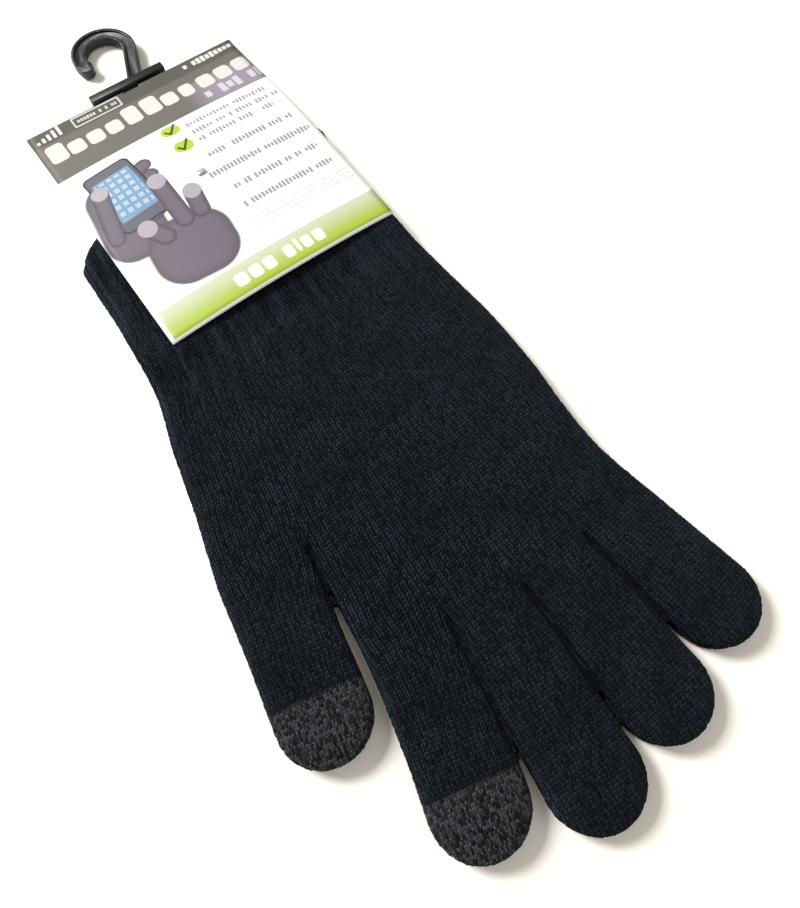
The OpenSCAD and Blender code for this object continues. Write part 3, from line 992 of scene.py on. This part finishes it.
def fold_board(columns=32):
    rows = board_path()
    bm = bmesh.new()
    bmesh.ops.create_grid(bm, x_segments=columns, y_segments=len(rows) - 1, size=1)
    uv = bm.loops.layers.uv.new("print")
    half = CARD_HIGH.x
    spots = {}
    for vert in bm.verts:
        across = vert.co.x
        y, z, bow, height = rows[round((vert.co.y + 1) / 2 * (len(rows) - 1))]
        spots[vert] = (across * half / MM, height / MM)
        vert.co = (across * half, y, z + bow * (1 - across * across))
    for face in bm.faces:
        face.smooth = True
        for loop in face.loops:
            loop[uv].uv = spots[loop.vert]
    bmesh.ops.reverse_faces(bm, faces=bm.faces)
    card = object_from("printed_card", bm)
    wall = card.modifiers.new("board", "SOLIDIFY")
    wall.thickness = BOARD
    wall.offset = -1
    wall.material_offset = wall.material_offset_rim = 1
    card.data.materials.append(bpy.data.materials.new("print_holder"))
    card.data.materials.append(bpy.data.materials.new("board_holder"))
    return apply_modifiers(card)


card = fold_board()
up = sum(f.normal.z > 0.5 for f in card.data.polygons if f.center.z > FRONT_Z)
print("card", len(card.data.polygons), "faces,", up, "of the front face up")


# %% Slot for the hanger's neck, and the pin's hole
def box_cutter(low, high):
    bm = bmesh.new()
    bmesh.ops.create_cube(bm, size=1)
    size, middle = Vector(high) - Vector(low), (Vector(high) + Vector(low)) / 2
    bmesh.ops.scale(bm, verts=bm.verts, vec=size)
    bmesh.ops.translate(bm, verts=bm.verts, vec=middle)
    return object_from("cutter", bm)


NECK_HALF = 2.8 * MM
SLOT_HEIGHT = 2.55 * MM
slot_low = BACK_Z + FOLD_R - 0.95 * MM
subtract(card, box_cutter((-NECK_HALF, FOLD_Y - 0.2 * MM, slot_low),
                          (NECK_HALF, CARD_HIGH.y + MM, slot_low + SLOT_HEIGHT)))
subtract(card, pin_hole_cutter())
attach(card, "card_pack")
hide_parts("header_card")
print("slotted card", len(card.data.polygons), "faces")

# %% [markdown]
# ## The print
#
# Everything printed is a generic shape given by its distance field: rounded
# bars, capsules and rows of small blocks that stand for lines of writing.
# Each shape is one group node with a centre, a size and a mask, and the shapes
# are laid over each other like inks.

# %% Shape groups
def tone(code):
    """A hex colour as the renderer's linear values."""
    parts = [int(code[i:i + 2], 16) / 255 for i in (0, 2, 4)]
    return (*[p / 12.92 if p < 0.04045 else ((p + 0.055) / 1.055) ** 2.4 for p in parts], 1)


def make_bar():
    tree, w, given, result = new_group(
        "print_bar",
        [("Vector", "NodeSocketVector", None), ("Centre", "NodeSocketVector", None),
         ("Half", "NodeSocketVector", None), ("Round", "NodeSocketFloat", 0.5),
         ("Turn", "NodeSocketFloat", 0.0), ("Soft", "NodeSocketFloat", 0.12)],
        [("Mask", "NodeSocketFloat")])
    offset = w.vector("SUBTRACT", given["Vector"], given["Centre"])
    turned = w.node("ShaderNodeVectorRotate", offset, (0, 0, 0), (0, 0, 1), None)
    w.feed(turned.inputs["Angle"], given["Turn"])
    reach = w.vector("SUBTRACT", w.vector("ABSOLUTE", turned.outputs[0]), given["Half"])
    reach = w.vector("ADD", reach, w.join(given["Round"], given["Round"]))
    x, y, _ = w.split(reach)
    outside = w.vector("LENGTH", w.join(w.math("MAXIMUM", x, 0.0), w.math("MAXIMUM", y, 0.0)))
    inside = w.math("MINIMUM", w.math("MAXIMUM", x, y), 0.0)
    distance = w.math("SUBTRACT", w.math("ADD", outside, inside), given["Round"])
    w.feed(result["Mask"], w.ramp(distance, w.math("MULTIPLY", given["Soft"], -1.0),
                                  given["Soft"], 1.0, 0.0))
    return tree


def make_capsule():
    tree, w, given, result = new_group(
        "print_capsule",
        [("Vector", "NodeSocketVector", None), ("From", "NodeSocketVector", None),
         ("To", "NodeSocketVector", None), ("Radius", "NodeSocketFloat", 1.0),
         ("Soft", "NodeSocketFloat", 0.15)],
        [("Mask", "NodeSocketFloat"), ("Across", "NodeSocketFloat")])
    offset = w.vector("SUBTRACT", given["Vector"], given["From"])
    run = w.vector("SUBTRACT", given["To"], given["From"])
    share = w.math("DIVIDE", w.vector("DOT_PRODUCT", offset, run),
                   w.vector("DOT_PRODUCT", run, run), clamp=True)
    scaled = w.node("ShaderNodeVectorMath", run, operation="SCALE")
    w.feed(scaled.inputs["Scale"], share)
    distance = w.vector("DISTANCE", offset, scaled.outputs[0])
    low = w.math("SUBTRACT", given["Radius"], given["Soft"])
    w.feed(result["Mask"], w.ramp(distance, low, given["Radius"], 1.0, 0.0))
    w.feed(result["Across"], w.math("DIVIDE", distance, given["Radius"], clamp=True))
    return tree


def make_words():
    """A line of writing as plain blocks: every cell is a block, a shorter block or a gap."""
    tree, w, given, result = new_group(
        "print_words",
        [("Vector", "NodeSocketVector", None), ("Left", "NodeSocketFloat", 0.0),
         ("Right", "NodeSocketFloat", 10.0), ("Middle", "NodeSocketFloat", 0.0),
         ("Height", "NodeSocketFloat", 1.5), ("Pitch", "NodeSocketFloat", 1.2)],
        [("Mask", "NodeSocketFloat")])
    u, v, _ = w.split(given["Vector"])
    cells = w.math("DIVIDE", w.math("SUBTRACT", u, given["Left"]), given["Pitch"])
    number = w.join(w.math("FLOOR", cells), given["Middle"])
    chance = w.node("ShaderNodeTexWhiteNoise", number).outputs["Value"]
    reach = w.math("ABSOLUTE", w.math("SUBTRACT", w.math("FRACT", cells), 0.5))
    block = w.ramp(reach, 0.32, 0.44, 1.0, 0.0)
    level = w.math("ABSOLUTE", w.math("SUBTRACT", v, given["Middle"]))
    tall = w.math("MULTIPLY", given["Height"], w.ramp(chance, 0.1, 0.9, 0.32, 0.56))
    rows = w.ramp(w.math("SUBTRACT", level, tall), -0.12, 0.12, 1.0, 0.0)
    kept = w.math("GREATER_THAN", chance, 0.14)
    ends = w.math("MULTIPLY", w.math("GREATER_THAN", u, given["Left"]),
                  w.math("LESS_THAN", u, given["Right"]))
    mask = w.math("MULTIPLY", w.math("MULTIPLY", block, rows), w.math("MULTIPLY", kept, ends))
    w.feed(result["Mask"], mask)
    return tree


BAR, CAPSULE, WORDS = make_bar(), make_capsule(), make_words()
print("print groups", BAR.name, CAPSULE.name, WORDS.name)


# %% Ink by ink
class Press:
    """Lays inks over each other on the card's flat map."""

    def __init__(self, w, paper, density):
        self.w = w
        self.density = density
        self.colour = tone(paper)
        self.spot = w.node("ShaderNodeUVMap", uv_map="print").outputs["UV"]
        self.x, self.y, _ = w.split(self.spot)

    def ink(self, code):
        return (*[part * self.density for part in tone(code)[:3]], 1)

    def lay(self, mask, ink, strength=1.0):
        if strength != 1.0:
            mask = self.w.math("MULTIPLY", mask, strength)
        if isinstance(ink, str):
            ink = self.ink(ink)
        self.colour = self.w.mix(mask, self.colour, ink)

    def bar(self, left, right, low, high, corner=0.4, turn=0.0, soft=0.12):
        return self.w.group(BAR, Vector=self.spot, Centre=((left + right) / 2, (low + high) / 2, 0),
                            Half=((right - left) / 2, (high - low) / 2, 0), Round=corner,
                            Turn=turn, Soft=soft)["Mask"]

    def capsule(self, start, end, radius, soft=0.3):
        return self.w.group(CAPSULE, Vector=self.spot, From=(*start, 0), To=(*end, 0),
                            Radius=radius, Soft=soft)

    def words(self, left, right, middle, height, pitch, ink, strength=1.0):
        mask = self.w.group(WORDS, Vector=self.spot, Left=left, Right=right, Middle=middle,
                            Height=height, Pitch=pitch)["Mask"]
        self.lay(mask, ink, strength)


TITLE = [(5.9, 8.8), (5.4, 6.3), (5.4, 6.3), (5.2, 6.3), (5.4, 8.8), (5.8, 8.8),
         (5.2, 6.3), (4.6, 6.3), (5.4, 6.3), (5.4, 6.3), (5.2, 6.3)]
TITLE_START, TITLE_STEP, TITLE_FOOT = -35, 6.65, 31.0
BAND_FOOT = 22.5


def print_header(press):
    w = press.w
    press.lay(press.bar(-60, 60, BAND_FOOT, 90, 0.1), "736f66")
    lilac = w.ramp(press.x, 9.0, 22.0)
    panel = press.bar(-60, 60, BAND_FOOT, 36, 0.1, soft=0.8)
    press.lay(w.math("MULTIPLY", lilac, panel), "a79bab", 0.8)
    press.lay(press.bar(-60, 60, 41, 90, 0.1), "5f5c54")
    for number, (width, height) in enumerate(TITLE):
        left = TITLE_START + TITLE_STEP * number
        block = press.bar(left, left + width, TITLE_FOOT, TITLE_FOOT + height, 1.5)
        press.lay(block, "e6e3dc")
    press.words(17, 38, 27.2, 4.6, 2.7, "d8d2dc")
    for number in range(5):
        left = -35.5 + 1.9 * number
        press.lay(press.bar(left, left + 1.0, 42.2, 43.4 + 0.8 * number, 0.2), "f4f3ee")
    frame_mark = w.math("SUBTRACT", press.bar(-22.5, -5.5, 41.8, 46.4, 0.5),
                        press.bar(-22.0, -6.0, 42.3, 45.9, 0.3))
    press.lay(frame_mark, "e9e7e0")
    press.words(-21, -7, 44.1, 1.3, 1.1, "d9d6cd")
    press.words(18, 37, 44.3, 2.3, 1.7, "f4f3ee")


print("title blocks", len(TITLE))


# %% Picture, lines and the band
DEVICE_TURN = -0.07
LINES = [(5, 36, 17.8), (5, 36.2, 13.6), (5, 32, 9.4), (4, 34.5, 2.0), (-1, 35.8, -5.2),
         (4, 33.5, -12.8), (3, 34.5, -20.2)]
BAND_BLOCKS = ((-13.4, -9.3, -39.4), (-8.5, -4.7, -39.4), (-3.9, -0.2, -39.4), (3.0, 6.2, -39.4),
               (7.0, 8.3, -38.4), (9.1, 12.2, -39.4), (13.0, 16.4, -39.4))


def finger(press, start, end, radius, ink, rim, tip=None):
    shape = press.capsule(start, end, radius)
    shade = press.w.mix(press.w.ramp(shape["Across"], 0.35, 1.0), press.ink(ink), press.ink(rim))
    press.lay(shape["Mask"], shade)
    if tip:
        press.lay(press.capsule(end, end, radius * 0.98)["Mask"], tip)


def print_picture(press):
    """A plain hand in a grey-tipped glove holds a plain flat device; another one touches it."""
    w = press.w
    hand, dark, pale = "776c7a", "574e5c", "b9b2bb"
    press.lay(press.bar(-36.5, -17, -19, 13, 8, 0.12, 0.5), dark)
    press.lay(press.bar(-36.2, -18, -18, 12, 8, 0.12, 2.2), hand)
    for low in (-7, -1.5, 4, 9):
        finger(press, (-20, low), (-13.6, low + 2.2), 2.7, hand, dark)
    press.lay(press.bar(-31.2, -15.2, -8.6, 18.4, 2.2, DEVICE_TURN), "3a3a40")
    press.lay(press.bar(-30.6, -15.9, -8.0, 17.8, 1.9, DEVICE_TURN), "6a6a72")
    press.lay(press.bar(-29.6, -16.8, -4.2, 14.2, 0.5, DEVICE_TURN), "7fa4c8")
    icons = w.math("MULTIPLY",
                   w.ramp(w.math("PINGPONG", press.x, 1.3), 0.35, 0.6),
                   w.ramp(w.math("PINGPONG", press.y, 1.45), 0.45, 0.7))
    screen = press.bar(-29, -17.4, -3.4, 13.4, 0.4, DEVICE_TURN)
    press.lay(w.math("MULTIPLY", icons, screen), "cfe0ee", 0.7)
    finger(press, (-33, -8), (-29.5, 9.5), 2.9, hand, dark, pale)
    press.lay(press.bar(-29, -3.4, -35.2, -12, 9.5, 0.1, 0.5), dark)
    press.lay(press.bar(-28.4, -4.2, -34.4, -12.6, 9, 0.1, 2.6), hand)
    finger(press, (-8, -14), (-6.8, -6.5), 3.0, hand, dark, pale)
    finger(press, (-13.5, -14), (-13.6, 2.8), 3.1, hand, dark, pale)
    finger(press, (-21, -16), (-24.2, -10.5), 3.2, hand, dark, pale)


def print_lines(press):
    w = press.w
    for middle in (19, 10):
        blot = w.math("GREATER_THAN",
                      w.math("ADD", press.bar(-3, 3.2, middle - 2.4, middle + 2.6, 2.2, 0.2, 1.3),
                             w.math("MULTIPLY", w.noise(press.spot, 0.9, 3, 0.7), 0.7)), 0.85)
        press.lay(blot, "b4d23e")
        for start, end in (((-1.7, 0.3), (-0.4, -1.4)), ((-0.4, -1.4), (2.2, 2.4))):
            shape = press.capsule((start[0], middle + start[1]), (end[0], middle + end[1]), 0.55)
            press.lay(shape["Mask"], "37521c")
    for left, right, middle in LINES:
        press.words(left, right, middle, 2.2, 1.2, "4b4a4e", 0.72)
    for middle in (-25.4, -27.2, -29.0):
        press.words(1, 36, middle, 0.8, 0.7, "9a999d", 0.6)


def print_band(press):
    lime = press.w.mix(press.w.ramp(press.y, -45.5, -36.5), press.ink("b6d03f"), press.ink("dfe5c6"))
    press.lay(press.bar(-36.3, 38.6, -46.4, -36.6, 0.1), lime)
    for left, right, top in BAND_BLOCKS:
        press.lay(press.bar(left, right, -43.8, top, 1.1), "fbfcf3")


print("lines of writing", len(LINES))


# %% The board's two faces
PAPER = "f4f3f1"
INK_DENSITY = 0.68


def print_material():
    material, tree, paint = new_material("printed_face")
    w = Wiring(tree)
    press = Press(w, PAPER, INK_DENSITY)
    print_header(press)
    print_picture(press)
    print_lines(press)
    print_band(press)
    w.feed(paint.inputs["Base Color"], press.colour)
    paint.inputs["Roughness"].default_value = 0.55
    paint.inputs["Specular IOR Level"].default_value = 0.25
    return material


def board_material():
    material, tree, paint = new_material("board_core")
    w = Wiring(tree)
    place = w.node("ShaderNodeTexCoord").outputs["Object"]
    pulp = w.noise(place, 900.0, 3, 0.6)
    w.feed(paint.inputs["Base Color"], w.mix(pulp, tone("d9d5cb"), tone("eeebe4")))
    paint.inputs["Roughness"].default_value = 0.75
    return material


card.data.materials[0] = print_material()
card.data.materials[1] = board_material()
print("card inks", len(card.data.materials[0].node_tree.nodes), "nodes")

# %% [markdown]
# ## Hanger and tag pin
#
# Both are moulded parts, so they keep the frame's shape. Each is a copy whose
# doubles are merged and whose sharp edges are rounded a little to catch light.

# %% Copy, merge and bevel
def moulded(name, node, radius, body, material):
    piece = new_object(name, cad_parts[node].data.copy())
    bm = bmesh.new()
    bm.from_mesh(piece.data)
    bmesh.ops.remove_doubles(bm, verts=bm.verts, dist=1e-6)
    bmesh.ops.dissolve_limit(bm, angle_limit=math.radians(1), verts=bm.verts, edges=bm.edges)
    bm.to_mesh(piece.data)
    bm.free()
    edge_round = piece.modifiers.new("soft_edges", "BEVEL")
    edge_round.width = radius
    edge_round.segments = 2
    edge_round.limit_method = "ANGLE"
    edge_round.angle_limit = math.radians(35)
    edge_round.harden_normals = True
    apply_modifiers(piece)
    piece.data.materials.clear()
    piece.data.materials.append(material)
    for face in piece.data.polygons:
        face.use_smooth = True
    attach(piece, body)
    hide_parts(node)
    return piece


def plastic(name, colour, roughness, grain, clear=0.0):
    material, tree, paint = new_material(name)
    w = Wiring(tree)
    place = w.node("ShaderNodeTexCoord").outputs["Object"]
    flow = w.noise(place, 700.0, 3, 0.55)
    paint.inputs["Base Color"].default_value = colour
    w.feed(paint.inputs["Roughness"], w.ramp(flow, 0.2, 0.8, roughness - 0.08, roughness + 0.08))
    bump = w.node("ShaderNodeBump")
    w.feed(bump.inputs["Height"], flow)
    bump.inputs["Distance"].default_value = grain
    bump.inputs["Strength"].default_value = 0.5
    w.feed(paint.inputs["Normal"], bump.outputs["Normal"])
    paint.inputs["Transmission Weight"].default_value = clear
    return material


hook = moulded("moulded_hook", "hanger_hook", 0.25 * MM, "hanger",
               plastic("black_moulding", tone("121314"), 0.5, 0.03 * MM))
pin = moulded("nylon_pin", "tag_pin", 0.12 * MM, "card_pack",
              plastic("clear_nylon", tone("b9b9b9"), 0.3, 0.01 * MM, 0.25))
print("hook", len(hook.data.polygons), "faces, pin", len(pin.data.polygons), "faces")
